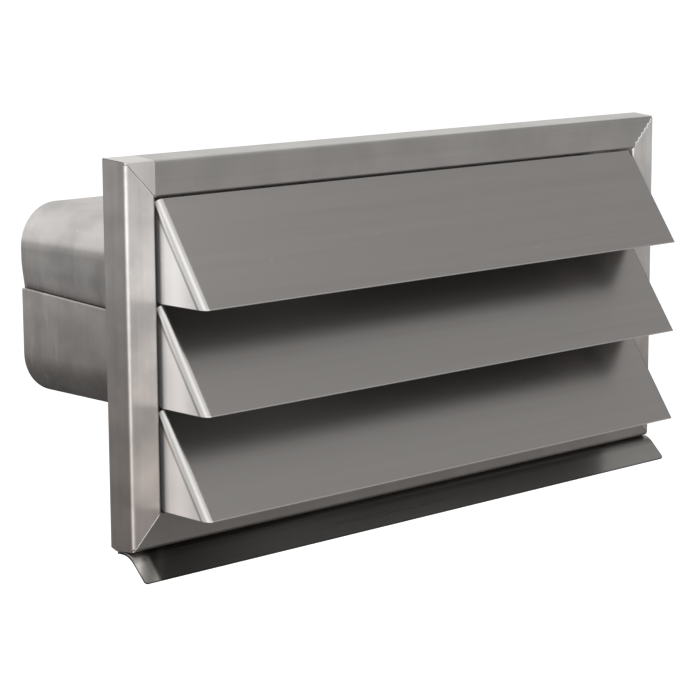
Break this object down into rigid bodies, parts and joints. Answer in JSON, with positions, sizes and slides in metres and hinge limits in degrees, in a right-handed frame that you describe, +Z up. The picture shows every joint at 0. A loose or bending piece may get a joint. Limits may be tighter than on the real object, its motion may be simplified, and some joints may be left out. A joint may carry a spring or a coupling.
{
  "type": "wall vent grille with gravity flaps",
  "caption": "Outside wall vent in brushed stainless sheet: mitred frame, hinged weather flaps that open with the air stream, drip strip below and a rounded flat-duct spigot behind.",
  "frame": {"origin": "centre of the frame on the wall's surface, which is the centre of the screw pattern", "axes": "+X to the right seen from outside, +Y into the wall along the duct, +Z up; the front faces -Y"},
  "size_m": [0.3324, 0.1765, 0.1726],
  "materials": {
    "frame_steel": "brushed",
    "flap_steel": "brushed",
    "spigot_steel": "mill finish",
    "plate_steel": "mill finish",
    "drip_steel": "brushed",
    "pin_steel": "turned"
  },
  "bodies": {
    "housing": {"frame_top_rail": "frame_steel", "frame_bottom_rail": "frame_steel", "frame_left_stile": "frame_steel", "frame_right_stile": "frame_steel", "back_plate": "plate_steel", "duct_spigot": "spigot_steel", "drip_strip": "drip_steel", "pivot_pin_top_left": "pin_steel", "pivot_pin_top_right": "pin_steel", "pivot_pin_middle_left": "pin_steel", "pivot_pin_middle_right": "pin_steel", "pivot_pin_bottom_left": "pin_steel", "pivot_pin_bottom_right": "pin_steel"},
    "flap_top": {"flap_top": "flap_steel"},
    "flap_middle": {"flap_middle": "flap_steel"},
    "flap_bottom": {"flap_bottom": "flap_steel"}
  },
  "joints": [
    {"name": "flap_top_hinge", "type": "hinge", "parent": "housing", "child": "flap_top", "pos_m": [0, -0.0105, 0.0553], "axis": [-1, 0, 0], "range_deg": [0, 58]},
    {"name": "flap_middle_hinge", "type": "hinge", "parent": "housing", "child": "flap_middle", "pos_m": [0, -0.0105, 0.01197], "axis": [-1, 0, 0], "range_deg": [0, 58]},
    {"name": "flap_bottom_hinge", "type": "hinge", "parent": "housing", "child": "flap_bottom", "pos_m": [0, -0.0105, -0.03137], "axis": [-1, 0, 0], "range_deg": [0, 58]}
  ]
}
